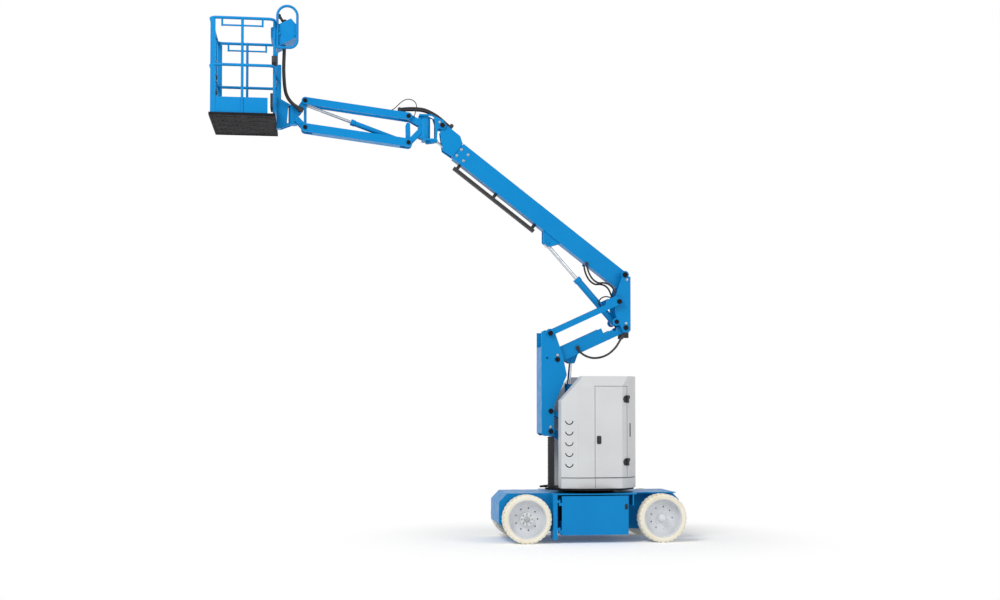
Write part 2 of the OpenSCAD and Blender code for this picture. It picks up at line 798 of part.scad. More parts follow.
module level_bracket() {
    low_reach = 30;
    color(blue) {
        plate_pair(bracket_in, bracket_out) difference() {
            union() {
                disc(tip_pin, 44);
                polygon([tip_pin + [44, 0], tip_pin + [10, 60], jib_turn + [70, 154], jib_turn + [-60, 154],
                    jib_turn + [-60, 134], jib_turn + [96, 134], jib_turn + [120, 60], jib_turn + [120, -135],
                    jib_turn + [-low_reach, -135], jib_turn + [-low_reach, -155], jib_turn + [140, -155],
                    jib_turn + [150, -20]]);
            }
            disc(tip_pin, level_pin_d / 2 - 1);
        }
        cross_pin(tip_pin, level_pin_d, -bracket_out - 6, bracket_out + 6);
        for (clasp = [[block_high + seat, 70], [block_low - seat - clasp_t, low_reach]])
            translate([jib_turn[0] - clasp[1], -bracket_out + 1, clasp[0]])
                cube([clasp[1] + 40, 2 * bracket_out - 2, clasp_t]);
        translate([jib_turn[0], 0, block_low - clasp_t])
            cylinder(d = turn_pin_d, h = block_high - block_low + 2 * clasp_t);
        plate_pair(18, 32) bar(jib_turn + [30, -164], level_eye, 22);
        cross_pin_pair(level_eye, 26, 17, 40);
    }
}

cheek_in = 42;
cheek_out = 56;
cheek_mid = 49;
jib_bar_in = 60;
jib_bar_out = 86;
jib_pin_d = 38;

module jib_base() {
    color(blue) {
        difference() {
            union() {
                translate([jib_turn[0], 0, block_low]) cylinder(r = 67, h = block_high - block_low);
                translate([jib_turn[0] - 80, -cheek_mid, block_low + 10])
                    cube([70, 2 * cheek_mid, block_high - block_low - 20]);
            }
            translate([jib_turn[0], 0, block_low - 1])
                cylinder(d = turn_pin_d + 2 * fit, h = block_high - block_low + 2);
        }
        plate_pair(cheek_in, cheek_out) difference() {
            union() {
                bar(jib_turn + [-74, 60], jib_base_high, 38);
                bar(jib_turn + [-74, -60], jib_base_low, 32);
                bar(jib_base_low, jib_base_high + [-4, -100], 26);
            }
            disc(jib_base_low, 10);
        }
        cross_pin_pair(jib_base_high, jib_pin_d, cheek_in + 3, jib_bar_out + 8);
        cross_pin(jib_base_low, jib_pin_d, -jib_bar_out - 8, jib_bar_out + 8);
    }
}

module jib_upper_arm() {
    tie_s = 60;
    color(blue) difference() {
        union() {
            plate_pair(jib_bar_in, jib_bar_out) bar(jib_base_high, jib_head_high, 43);
            translate([jib_base_high[0], 0, jib_base_high[1]]) rotate([0, jib_angle, 0])
                translate([-tie_s - 90, -jib_bar_out + 1, 34]) cube([90, 2 * jib_bar_out - 2, 9]);
        }
        for (p = [jib_base_high, jib_head_high]) cross_pin(p, jib_pin_d + 2 * fit, -200, 200);
    }
}

module jib_lower_arm() {
    color(blue) difference() {
        union() {
            plate_pair(jib_bar_in, jib_bar_out) bar(jib_base_low, jib_head_low, 49);
            translate([jib_base_low[0], 0, jib_base_low[1]]) rotate([0, jib_angle, 0])
                translate([-jib_len + 90, -jib_bar_out + 1, -49])
                    cube([jib_len - 180, 2 * jib_bar_out - 2, 7]);
        }
        for (p = [jib_base_low, jib_head_low]) cross_pin(p, jib_pin_d + 2 * fit, -200, 200);
    }
}

rotor_r = 50;
rotor_low = platform_turn[1] - 99;
rotor_high = platform_turn[1] + 100;

module jib_head() {
    color(blue) {
        difference() {
            union() {
                translate([platform_turn[0], 0, rotor_low]) cylinder(r = rotor_r, h = rotor_high - rotor_low);
                translate([platform_turn[0] + 20, -cheek_mid, rotor_low + 20])
                    cube([50, 2 * cheek_mid, rotor_high - rotor_low - 40]);
            }
            translate([platform_turn[0], 0, rotor_low - 1])
                cylinder(d = turn_pin_d - 10 + 2 * fit, h = rotor_high - rotor_low + 2);
        }
        plate_pair(cheek_in, cheek_out) {
            bar(platform_turn + [60, 40], jib_head_high, 34);
            bar(platform_turn + [60, -60], jib_head_low, 34);
            bar(jib_head_low, jib_head_high, 17);
        }
        cross_pin_pair(jib_head_high, jib_pin_d, cheek_in + 3, jib_bar_out + 8);
        cross_pin(jib_head_low, jib_pin_d, -jib_bar_out - 8, jib_bar_out + 8);
    }
}

jib_rod_d = 36;
jib_barrel_len = 720;
jib_drop = 1.5;
jib_cyl_line = jib_head_high - jib_base_low;
jib_eye = jib_base_low + turned(jib_cyl_line, jib_drop);

module jib_barrel() {
    color(blue) barrel(jib_base_low, jib_eye, jib_cyl_d, jib_rod_d, jib_barrel_len,
        half = 38, pin_d = jib_pin_d, eye_r = 34, bore_x = 72);
}

module jib_rod() {
    color(steel) rod(jib_base_low, jib_eye, jib_rod_d,
        x0 = 420, half = 34, eye_r = 32, bore_d = 40);
}

// Platform
platform_front = platform_back - platform_len;
half_w = platform_w / 2;
rail_r = rail_d / 2;
top_z = floor_z + rail_h;
mid_z = floor_z + 565;
corner_r = 70;
post_d = rail_d - 3;

module platform_mount() {
    clasp = 16;
    color(blue) {
        for (z = [rotor_high + seat, rotor_low - seat - clasp])
            translate([platform_back + 20, -50, z])
                cube([platform_turn[0] + 50 - platform_back - 20, 100, clasp]);
        translate([platform_turn[0], 0, rotor_low - clasp])
            cylinder(d = turn_pin_d - 10, h = rotor_high - rotor_low + 2 * clasp);
        translate([platform_back - 15, -50, floor_z - 40]) cube([50, 100, 750]);
        for (y = [-50, 38]) side_plate(y, y + 12) polygon([
            [platform_back + 34, rotor_high + 80], [platform_turn[0] - 10, rotor_high + 10],
            [platform_turn[0] - 54, rotor_high + 10], [platform_turn[0] - 70, rotor_low],
            [platform_turn[0] - 10, rotor_low - 16], [platform_back + 34, floor_z - 40]]);
    }
}

// A closed rail loop with round corners, its back side left to the mount
module rail_loop(z) {
    x0 = platform_front + rail_r;
    x1 = platform_back - rail_r - 15;
    y1 = half_w - rail_r;
    for (s = [-1, 1]) {
        translate([x0 + corner_r, s * y1, z]) rotate([0, 90, 0])
            cylinder(d = rail_d, h = x1 - x0 - 2 * corner_r);
        for (x = [x0, x1]) translate([x == x0 ? x0 + corner_r : x1 - corner_r, s * (y1 - corner_r), z])
            rotate([0, 0, x == x0 ? (s > 0 ? 90 : 180) : (s > 0 ? 0 : 270)])
                rotate_extrude(angle = 90) translate([corner_r, 0]) circle(d = rail_d, $fn = 32);
    }
    for (x = [x0, x1]) if (x == x1 || z == top_z)
        translate([x, -y1 + corner_r, z]) rotate([-90, 0, 0]) cylinder(d = rail_d, h = 2 * (y1 - corner_r));
    if (z != top_z) for (s = [-1, 1])
        translate([x0, s > 0 ? gate_half : -y1 + corner_r, z])
            rotate([-90, 0, 0]) cylinder(d = rail_d, h = y1 - corner_r - gate_half);
}

gate_half = 300;
gate_post = 47;
gate_tube = 26;
gate_hinges = [floor_z + 420, floor_z + 700];

module platform_frame() {
    x0 = platform_front + rail_r;
    x1 = platform_back - rail_r - 15;
    y1 = half_w - rail_r;
    post_bottom = floor_z + 20;
    flat_w = 56;
    flat_t = 24;
    color(blue) {
        for (z = [top_z, mid_z]) rail_loop(z);
        for (s = [-1, 1]) {
            translate([(x0 + x1) / 2, s * y1, post_bottom]) cylinder(d = post_d, h = top_z - post_bottom);
            translate([x0, s > 0 ? y1 - flat_t + 5 : -y1 - 5, post_bottom])
                cube([flat_w, flat_t, top_z - post_bottom]);
            translate([x1, s * (y1 - corner_r - 20), post_bottom])
                cylinder(d = post_d, h = top_z - post_bottom);
            translate([x0, s * (gate_half + rail_r), post_bottom])
                cylinder(d = post_d, h = top_z - post_bottom);
            translate([x0 + flat_w - 4, s > 0 ? y1 - 6 : -y1, post_bottom])
                cube([x1 - x0 - corner_r - flat_w + 4, 6, toe_h]);
            translate([x0 + 119, s * y1, top_z - 85]) rotate([0, 90, 0]) cylinder(d = 20, h = x1 - x0 - 238);
            for (x = [x0 + 130, x1 - 130]) translate([x, s * y1, top_z - 96]) cylinder(d = 23, h = 96);
        }
        for (z = gate_hinges) difference() {
            translate([x0 - 18, -gate_half - rail_r, z]) cube([36, gate_post + 35, 30]);
            translate([x0, -gate_half + gate_post - rail_r, z - 1]) cylinder(d = gate_tube + 2 * fit, h = 32);
        }
        translate([x1 - 3, -y1 + corner_r, post_bottom]) cube([6, 2 * (y1 - corner_r), toe_h]);
        for (z = [mid_z, floor_z + 640]) translate([x1, -40, z - 20]) cube([platform_back - 15 - x1, 80, 40]);
    }
}

module platform_floor() {
    lip = 32;
    planks = 5;
    pitch = (platform_w - 20) / planks;
    color(black) {
        translate([platform_front, -half_w, floor_z - 12]) difference() {
            cube([platform_len - 15, platform_w, lip]);
            translate([30, 30, -1]) cube([platform_len - 75, platform_w - 60, lip + 2]);
        }
        for (i = [0 : planks - 1]) difference() {
            translate([platform_front + 29, -half_w + 10 + i * pitch, floor_z - 6])
                cube([platform_len - 73, pitch, 10]);
            for (j = [0 : 11]) if (j != 6)
                translate([platform_front + 90 + j * 50, -half_w + 10 + (i + 0.5) * pitch, floor_z - 7])
                    cylinder(d = 34, h = 12, $fn = 4);
        }
    }
}

// The entry gate hangs on the near post of the outer side and swings in
module gate() {
    x0 = platform_front + rail_r;
    color(blue) {
        for (z = [floor_z + 330, mid_z, floor_z + 800])
            translate([x0, -gate_half + 30, z]) rotate([-90, 0, 0]) cylinder(d = gate_tube, h = 2 * gate_half - 60);
        for (y = [-gate_half + 30, gate_half - 30])
            translate([x0, y, floor_z + 300]) cylinder(d = gate_tube, h = 530);
        translate([x0 - 3, -gate_half + 30, floor_z + 40]) cube([6, 2 * gate_half - 60, toe_h]);
        for (y = [-gate_half + 30, gate_half - 30])
            translate([x0, y, floor_z + 40]) cylinder(d = 20, h = 280);
    }
}

// The control box hangs in a tube hoop that stands behind the rear rails
module control_box() {
    hoop_d = 30;
    near = -half_w + 130;
    far = near + 290;
    hoop_y = near - hoop_d / 2 - 2;
    x0 = platform_back + seat;
    x1 = x0 + 226;
    lean = 32;
    leg_top = top_z + 72;
    bend = (x1 - x0) / 2;
    foot_r = 90;
    foot_z = top_z - 296;
    color(blue) {
        side_plate(near, far) polygon([[x0 - 75, top_z - 68], [x0 + 153, top_z + 50], [x1 + 5, top_z - 38],
            [x1 + 5, top_z - 155], [x0 - 8, top_z - 286], [x0 - 75, top_z - 172]]);
        translate([0, hoop_y, 0]) {
            translate([x0, 0, foot_z]) cylinder(d = hoop_d, h = leg_top - foot_z);
            translate([x1, 0, foot_z + foot_r]) cylinder(d = hoop_d, h = leg_top - foot_z - foot_r);
            translate([x0, 0, foot_z]) rotate([0, 90, 0]) cylinder(d = hoop_d, h = x1 - x0 - foot_r);
            translate([x0, 0, foot_z]) sphere(d = hoop_d);
            translate([x0 + bend, 0, leg_top]) rotate([90, 0, 0])
                rotate_extrude(angle = 180) translate([bend, 0]) circle(d = hoop_d, $fn = 32);
            translate([x1 - foot_r, 0, foot_z + foot_r]) rotate([90, 0, 0]) rotate([0, 0, 270])
                rotate_extrude(angle = 90) translate([foot_r, 0]) circle(d = hoop_d, $fn = 32);
        }
        for (x = [x0 - 10, x1 - 30]) translate([x, hoop_y, top_z - 150]) cube([40, 18, 30]);
    }
    color(black) for (y = [near + 60, near + 150]) translate([x0 + 80, y, top_z + 4]) rotate([0, -lean, 0]) {
        cylinder(d = 20, h = 110);
        translate([0, 0, 110]) sphere(d = 34);
    }
}

// A ribbed guard for the hoses that rise beside the folded arms
module hose_guard() {
    ribs = 20;
    pitch = 30;
    guard_x = -500;
    guard_y = -236;
    color(black) {
        translate([guard_x, guard_y, skirt_z]) cube([70, 32, ribs * pitch]);
        for (i = [0 : ribs - 1])
            translate([guard_x - 4, guard_y - 2, skirt_z + i * pitch + 8]) cube([78, 36, 14]);
    }
}

// Clamps for the hoses, under the plates of the upper pivot
module hose_clamps() {
    clamp_h = 66;
    color(black) for (y = [-top_plate_out, top_plate_out - 34])
        translate([top_arm_pin[0] - 30, y, top_arm_pin[1] - 57 - clamp_h]) cube([62, 34, clamp_h]);
}

// A box for papers on the inside of the rear toe board
module paper_box() {
    box_t = 52;
    color(black) translate([platform_back - rail_r - 18 - box_t, -130, floor_z + 187])
        cube([box_t, 260, 166]);
}

module near_side() {
    mirror([0, 1, 0]) children();
}

chassis_frame();
drive_hubs();
slew_ring();
tray(-1);  // tray_near
tray(1);  // tray_far
knuckle(-1);  // knuckle_near
knuckle(1);  // knuckle_far
wheel(-1, -1, cap_r = 78, cap_h = 36);  // wheel_drive_near
wheel(-1, 1, cap_r = 78, cap_h = 36);  // wheel_drive_far
wheel(1, -1, cap_r = 46, cap_h = 52);  // wheel_steer_near
wheel(1, 1, cap_r = 46, cap_h = 52);  // wheel_steer_far
tyre(-1, -1);  // tyre_drive_near
tyre(-1, 1);  // tyre_drive_far
tyre(1, -1);  // tyre_steer_near
tyre(1, 1);  // tyre_steer_far
turret_frame();
near_side() cover();  // cover_near
cover();  // cover_far
near_side() door();  // door_near
door();  // door_far
power_unit();
hydraulic_tank();
lower_arm();
lower_link();
mid_pivot();
upper_arm();
upper_link();
upper_pivot();
riser_barrel();
riser_rod();
boom();
boom_extension();
hose_tray();
lift_barrel();
lift_rod();
level_rod();
level_bracket();
jib_base();
jib_upper_arm();
jib_lower_arm();
jib_head();
jib_barrel();
jib_rod();
platform_mount();
platform_frame();
platform_floor();
gate();
control_box();
hose_guard();
hose_clamps();
paper_box();
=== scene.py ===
"""Looks of a narrow articulating boom lift with a rotating jib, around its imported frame."""

import json
import math

import bmesh
import bpy
from mathutils import Matrix, Vector


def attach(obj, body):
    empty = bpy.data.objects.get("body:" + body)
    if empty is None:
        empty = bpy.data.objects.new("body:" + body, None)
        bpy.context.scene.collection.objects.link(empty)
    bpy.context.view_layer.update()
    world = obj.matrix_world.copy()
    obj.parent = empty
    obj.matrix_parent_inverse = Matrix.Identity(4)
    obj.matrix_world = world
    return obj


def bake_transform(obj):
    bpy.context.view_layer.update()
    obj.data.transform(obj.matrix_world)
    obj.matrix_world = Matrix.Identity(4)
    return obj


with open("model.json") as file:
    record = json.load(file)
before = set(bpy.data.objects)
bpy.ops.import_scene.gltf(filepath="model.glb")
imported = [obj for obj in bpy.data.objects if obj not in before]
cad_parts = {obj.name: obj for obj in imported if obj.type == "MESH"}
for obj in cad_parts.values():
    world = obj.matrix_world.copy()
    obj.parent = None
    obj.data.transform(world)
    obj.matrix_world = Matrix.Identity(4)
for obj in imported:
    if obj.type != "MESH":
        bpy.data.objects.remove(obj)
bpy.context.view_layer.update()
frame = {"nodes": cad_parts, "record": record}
NODES = frame["nodes"]
PHOTO_W = 1000.0

# Camera of the photograph
CAMERA_AT = (-3.228, -16.292, 1.573)
CAMERA_TURN = (91.769, 0.0, -7.636)
FOCAL_PX = 1377.2
PRINCIPAL_DROP_PX = 65.0
SENSOR_MM = 36.0


def add_camera():
    data = bpy.data.cameras.new("camera")
    data.sensor_width = SENSOR_MM
    data.lens = FOCAL_PX / PHOTO_W * SENSOR_MM
    data.shift_y = PRINCIPAL_DROP_PX / PHOTO_W
    data.clip_end = 500.0
    cam = bpy.data.objects.new("camera", data)
    cam.location = CAMERA_AT
    cam.rotation_euler = [math.radians(a) for a in CAMERA_TURN]
    bpy.context.scene.collection.objects.link(cam)
    bpy.context.scene.camera = cam


# Studio

WORLD_LIGHT = 0.46
KEY_WATTS = 1400.0
FILL_WATTS = 420.0
FLOOR_HALF = 250.0
SHADOW_NEAR = 1.1
SHADOW_FAR = 3.2
WHITE = (1.0, 1.0, 1.0, 1.0)


def area_light(name, place, aim, size, watts):
    data = bpy.data.lights.new(name, "AREA")
    data.shape = "DISK"
    data.size = size
    data.energy = watts
    lamp = bpy.data.objects.new(name, data)
    lamp.location = place
    lamp.rotation_euler = (Vector(aim) - Vector(place)).to_track_quat("-Z", "Y").to_euler()
    bpy.context.scene.collection.objects.link(lamp)


def seen_directly(nodes, links):
    """One for rays that show a surface to the camera, straight or by a mirror or glass."""
    path = nodes.new("ShaderNodeLightPath")
    value = path.outputs["Is Camera Ray"]
    for kind in ("Is Glossy Ray", "Is Transmission Ray"):
        either = nodes.new("ShaderNodeMath")
        either.operation = "MAXIMUM"
        links.new(value, either.inputs[0])
        links.new(path.outputs[kind], either.inputs[1])
        value = either.outputs[0]
    return value


def background(nodes, strength):
    node = nodes.new("ShaderNodeBackground")
    node.inputs["Color"].default_value = WHITE
    node.inputs["Strength"].default_value = strength
    return node.outputs[0]


def add_world():
    """Soft even light, with white shown straight to the camera."""
    world = bpy.data.worlds.new("studio")
    world.use_nodes = True
    nodes, links = world.node_tree.nodes, world.node_tree.links
    nodes.clear()
    out = nodes.new("ShaderNodeOutputWorld")
    mix = nodes.new("ShaderNodeMixShader")
    links.new(seen_directly(nodes, links), mix.inputs["Fac"])
    links.new(background(nodes, WORLD_LIGHT), mix.inputs[1])
    links.new(background(nodes, 1.0), mix.inputs[2])
    links.new(mix.outputs[0], out.inputs["Surface"])
    bpy.context.scene.world = world


def floor_finish():
    """A pale floor that takes the shadow near the machine and fades to white away from it."""
    mat = bpy.data.materials.new("pale_floor")
    mat.use_nodes = True
    nodes, links = mat.node_tree.nodes, mat.node_tree.links
    shader = nodes["Principled BSDF"]
    shader.inputs["Base Color"].default_value = WHITE
    shader.inputs["Roughness"].default_value = 1.0
    shader.inputs["Specular IOR Level"].default_value = 0.0
    shader.inputs["Emission Color"].default_value = WHITE
    shader.inputs["Emission Strength"].default_value = 0.07
    place = nodes.new("ShaderNodeTexCoord").outputs["Object"]
    length = nodes.new("ShaderNodeVectorMath")
    length.operation = "LENGTH"
    links.new(place, length.inputs[0])
    fade = nodes.new("ShaderNodeMapRange")
    fade.interpolation_type = "SMOOTHSTEP"
    fade.inputs["From Min"].default_value = SHADOW_NEAR
    fade.inputs["From Max"].default_value = SHADOW_FAR
    links.new(length.outputs["Value"], fade.inputs["Value"])
    shown = nodes.new("ShaderNodeMath")
    shown.operation = "MULTIPLY"
    links.new(fade.outputs["Result"], shown.inputs[0])
    links.new(seen_directly(nodes, links), shown.inputs[1])
    glow = nodes.new("ShaderNodeEmission")
    glow.inputs["Color"].default_value = WHITE
    mix = nodes.new("ShaderNodeMixShader")
    links.new(shown.outputs[0], mix.inputs["Fac"])
    links.new(shader.outputs["BSDF"], mix.inputs[1])
    links.new(glow.outputs[0], mix.inputs[2])
    links.new(mix.outputs[0], nodes["Material Output"].inputs["Surface"])
    return mat


def add_floor():
    mesh = bpy.data.meshes.new("floor")
    bm = bmesh.new()
    bmesh.ops.create_grid(bm, x_segments=1, y_segments=1, size=FLOOR_HALF)
    bm.to_mesh(mesh)
    bm.free()
    floor = bpy.data.objects.new("floor", mesh)
    bpy.context.scene.collection.objects.link(floor)
    mesh.materials.append(floor_finish())


# Finishes

def srgb(r, g, b):
    """A screen colour of 0 to 255 as the linear colour that a shader takes."""
    def one(c):
        c /= 255.0
        return c / 12.92 if c <= 0.04045 else ((c + 0.055) / 1.055) ** 2.4
    return (one(r), one(g), one(b), 1.0)


def new_material(name):
    mat = bpy.data.materials.new(name)
    mat.use_nodes = True
    return mat, mat.node_tree.nodes, mat.node_tree.links, mat.node_tree.nodes["Principled BSDF"]


def noise(nodes, links, scale, detail, coord):
    tex = nodes.new("ShaderNodeTexNoise")
    tex.inputs["Scale"].default_value = scale
    tex.inputs["Detail"].default_value = detail
    links.new(coord, tex.inputs["Vector"])
    return tex.outputs["Fac"]


def ramp(nodes, links, value, stops):
    node = nodes.new("ShaderNodeValToRGB")
    for element, (place, colour) in zip(node.color_ramp.elements, stops):
        element.position = place
        element.color = colour
    links.new(value, node.inputs["Fac"])
    return node.outputs["Color"]


def bump(nodes, links, shader, height, strength, distance):
    node = nodes.new("ShaderNodeBump")
    node.inputs["Strength"].default_value = strength
    node.inputs["Distance"].default_value = distance
    links.new(height, node.inputs["Height"])
    links.new(node.outputs["Normal"], shader.inputs["Normal"])


def grey_level(v):
    return (v, v, v, 1.0)


def sprayed_paint(name, colour, dusty, rough=0.36, grain=900.0, shine=0.25):
    """Sprayed enamel: a faint drift of colour, dust that settles in patches, and fine orange peel."""
    mat, nodes, links, shader = new_material(name)
    coord = nodes.new("ShaderNodeTexCoord").outputs["Object"]
    drift = noise(nodes, links, 2.2, 5.0, coord)
    links.new(ramp(nodes, links, drift, [(0.38, colour), (0.72, dusty)]), shader.inputs["Base Color"])
    patch = noise(nodes, links, 9.0, 6.0, coord)
    links.new(ramp(nodes, links, patch, [(0.3, grey_level(rough - 0.08)), (0.75, grey_level(rough + 0.12))]),
              shader.inputs["Roughness"])
    shader.inputs["Specular IOR Level"].default_value = shine
    bump(nodes, links, shader, noise(nodes, links, grain, 2.0, coord), 0.04, 0.001)
    return mat


def moulded(name, colour, lighter, rough=0.5, grain=420.0, strength=0.12):
    """Moulded plastic or rubber with a fine grain and faint cloudy wear."""
    mat, nodes, links, shader = new_material(name)
    coord = nodes.new("ShaderNodeTexCoord").outputs["Object"]
    cloud = noise(nodes, links, 5.0, 6.0, coord)
    links.new(ramp(nodes, links, cloud, [(0.35, colour), (0.75, lighter)]), shader.inputs["Base Color"])
    shader.inputs["Roughness"].default_value = rough
    bump(nodes, links, shader, noise(nodes, links, grain, 3.0, coord), strength, 0.001)
    return mat


def bright_metal(name, dull, bright, rough):
    """Ground or plated metal, with fine turning marks."""
    mat, nodes, links, shader = new_material(name)
    coord = nodes.new("ShaderNodeTexCoord").outputs["Object"]
    marks = noise(nodes, links, 60.0, 8.0, coord)
    links.new(ramp(nodes, links, marks, [(0.3, dull), (0.7, bright)]), shader.inputs["Base Color"])
    shader.inputs["Metallic"].default_value = 1.0
    shader.inputs["Roughness"].default_value = rough
    return mat


BLUE = sprayed_paint("blue_enamel", srgb(0, 128, 194), srgb(2, 132, 197), shine=0.16)
GREY = sprayed_paint("grey_cover_paint", srgb(203, 205, 207), srgb(209, 211, 212), rough=0.44, grain=500.0)
RIM = sprayed_paint("grey_rim_paint", srgb(214, 217, 220), srgb(220, 222, 225), rough=0.42)
CREAM = moulded("cream_rubber", srgb(238, 233, 218), srgb(229, 220, 196), rough=0.8, strength=0.2)
BLACK = moulded("black_rubber", srgb(24, 22, 26), srgb(40, 38, 42), rough=0.6)
BLACK_METAL = sprayed_paint("black_enamel", srgb(20, 19, 24), srgb(30, 29, 33), rough=0.66, shine=0.12)
HOSE = moulded("hose_rubber", srgb(20, 18, 22), srgb(38, 36, 40), rough=0.55, grain=900.0, strength=0.25)
RED = moulded("red_plastic", srgb(186, 22, 26), srgb(198, 34, 34), rough=0.4, strength=0.04)
STEEL = bright_metal("ground_rod", srgb(168, 172, 178), srgb(222, 225, 230), 0.22)
ZINC = bright_metal("zinc_plate", srgb(150, 152, 152), srgb(196, 198, 196), 0.38)

FINISH = {
    "grey_cover": GREY, "grey_rim": RIM, "tyre_cream": CREAM, "black_metal": BLACK_METAL,
    "black_plastic": BLACK, "floor_metal": BLACK_METAL, "rod_steel": STEEL, "blue_paint": BLUE,
}


def dress_frame():
    """Every carried-over solid gets the finish of its material slot."""
    slots = {s["node"]: s["material_slot"] for s in frame["record"]["subparts"]}
    for name, obj in NODES.items():
        obj.data.materials.clear()
        obj.data.materials.append(FINISH[slots[name]])


def repaint(name, finish, wanted):
    """Gives another finish to the faces of a solid whose middle is wanted, by millimetres."""
    obj = NODES[name]
    obj.data.materials.append(finish)
    for face in obj.data.polygons:
        x, y, z = (obj.matrix_world @ face.center) / MM
        if wanted(x, y, z):
            face.material_index = 1


# Main points of the side view, in millimetres along X and Z

MM = 0.001
UP = Vector((0.0, 0.0, 1.0))
TURRET_PIN = (377.0, 906.0)
RISER_LEN = 920.0
RISER_ANGLE = math.radians(24.7)
BOOM_ANGLE = math.radians(37.5)
JIB_ANGLE = math.radians(7.0)
JIB_LEN = 1222.0
JIB_GAP = 315.0


def shifted(p, dx, dz):
    return (p[0] + dx, p[1] + dz)


RISER_RUN = RISER_LEN * math.cos(RISER_ANGLE)
RISER_RISE = RISER_LEN * math.sin(RISER_ANGLE)
MID_LOW = shifted(TURRET_PIN, -RISER_RUN, RISER_RISE)
MID_HIGH = shifted(MID_LOW, 80.0, 854.0)
TOP_ARM = shifted(MID_HIGH, RISER_RUN, RISER_RISE)
BOOM_PIN = shifted(TOP_ARM, -9.0, 635.0)
LIFT_BASE = shifted(TOP_ARM, -112.0, 71.0)


def on_boom(u, v):
    """A side-view point given along and above the boom's line."""
    return shifted(BOOM_PIN, v * math.sin(BOOM_ANGLE) - u * math.cos(BOOM_ANGLE),
                   v * math.cos(BOOM_ANGLE) + u * math.sin(BOOM_ANGLE))


TIP = on_boom(2810.0, 60.0)
JIB_TURN = shifted(TIP, -206.0, -25.0)
JIB_BASE_LOW = shifted(JIB_TURN, -196.0, -188.0)
JIB_BASE_HIGH = shifted(JIB_BASE_LOW, 0.0, JIB_GAP)
JIB_HEAD_LOW = shifted(JIB_BASE_LOW, -JIB_LEN * math.cos(JIB_ANGLE), JIB_LEN * math.sin(JIB_ANGLE))
JIB_HEAD_HIGH = shifted(JIB_HEAD_LOW, 0.0, JIB_GAP)
PLATFORM_BACK = JIB_HEAD_LOW[0] - 316.0
PLATFORM_FRONT = PLATFORM_BACK - 760.0
FLOOR_Z = JIB_HEAD_LOW[1] + 25.0
TOP_RAIL_Z = FLOOR_Z + 1100.0
REAR_RAIL_X = PLATFORM_BACK - 32.0
CONTROL_X = PLATFORM_BACK + 0.3
CONTROL_NEAR = -455.0
SIDES = (("near", -1), ("far", 1))


# Mesh helpers. Places are given in millimetres.

def at(x, y, z):
    return Vector((x, y, z)) * MM


def stand(place, direction):
    """The frame that stands at a place with its Z along a direction."""
    return Matrix.Translation(place) @ Vector(direction).to_track_quat("Z", "Y").to_matrix().to_4x4()


def only_verts(geom):
    return [part for part in geom if isinstance(part, bmesh.types.BMVert)]


def join(bm, shape, matrix):
    """Adds a finished shape to a piece, at its place."""
    bmesh.ops.remove_doubles(shape, verts=shape.verts, dist=1e-6)
    bmesh.ops.recalc_face_normals(shape, faces=shape.faces)
    bmesh.ops.transform(shape, matrix=matrix, verts=shape.verts)
    mesh = bpy.data.meshes.new("shape")
    shape.to_mesh(mesh)
    shape.free()
    bm.from_mesh(mesh)
    bpy.data.meshes.remove(mesh)


def add_turned(bm, profile, matrix, steps=24):
    """A shape turned from a half profile of radius and height in millimetres."""
    shape = bmesh.new()
    line = [shape.verts.new((r * MM, 0.0, h * MM)) for r, h in profile]
    edges = [shape.edges.new(pair) for pair in zip(line, line[1:])]
    bmesh.ops.spin(shape, geom=line + edges, cent=(0, 0, 0), axis=UP, angle=math.tau, steps=steps,
                   use_merge=True, use_duplicate=False)
    join(bm, shape, matrix)


def add_block(bm, low, high, radius, matrix=Matrix.Identity(4)):
    """A block with rounded edges between two corners in millimetres."""
    shape = bmesh.new()
    bmesh.ops.create_cube(shape, size=1.0)
    low, high = at(*low), at(*high)
    bmesh.ops.scale(shape, vec=high - low, verts=shape.verts)
    bmesh.ops.translate(shape, vec=(low + high) / 2, verts=shape.verts)
    bmesh.ops.bevel(shape, geom=shape.edges[:], offset=radius * MM, segments=3, affect="EDGES",
                    profile=0.5, material=-1)
    join(bm, shape, matrix)


def add_bolt(bm, place, direction, across):
    """A hexagon head on its washer, given by the size across its flats."""
    washer = 0.16 * across
    head = bmesh.new()
    bmesh.ops.create_cone(head, cap_ends=True, segments=6, radius1=0.577 * across * MM,
                          radius2=0.577 * across * MM, depth=0.6 * across * MM)
    bmesh.ops.translate(head, vec=(0, 0, (0.3 * across + washer) * MM), verts=head.verts)
    top = (0.5 * across + washer) * MM
    rim = [e for e in head.edges if all(v.co.z > top for v in e.verts)]
    bmesh.ops.bevel(head, geom=rim, offset=0.09 * across * MM, segments=2, affect="EDGES", profile=0.5,
                    material=-1)
    join(bm, head, stand(place, direction))
    r = 0.95 * across
    add_turned(bm, [(0, 0), (r, 0), (r, 0.7 * washer), (0.94 * r, washer), (0, washer)],
               stand(place, direction), 20)


def add_plate(bm, outline, thick, edge, matrix=Matrix.Identity(4)):
    """A plate with an eased outer edge, drawn up from an outline in its own XY plane."""
    shape = bmesh.new()
    base = shape.faces.new([shape.verts.new((x * MM, y * MM, 0.0)) for x, y in outline])
    raised = bmesh.ops.extrude_face_region(shape, geom=[base])["geom"]
    bmesh.ops.translate(shape, vec=(0, 0, thick * MM), verts=only_verts(raised))
    top = [e for e in shape.edges if all(v.co.z > 0.5 * thick * MM for v in e.verts)]
    bmesh.ops.bevel(shape, geom=top, offset=edge * MM, segments=2, affect="EDGES", profile=0.5, material=-1)
    join(bm, shape, matrix)


def link_piece(name, mesh, body):
    obj = bpy.data.objects.new(name, mesh)
    bpy.context.scene.collection.objects.link(obj)
    if body:
        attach(obj, body)
    return obj


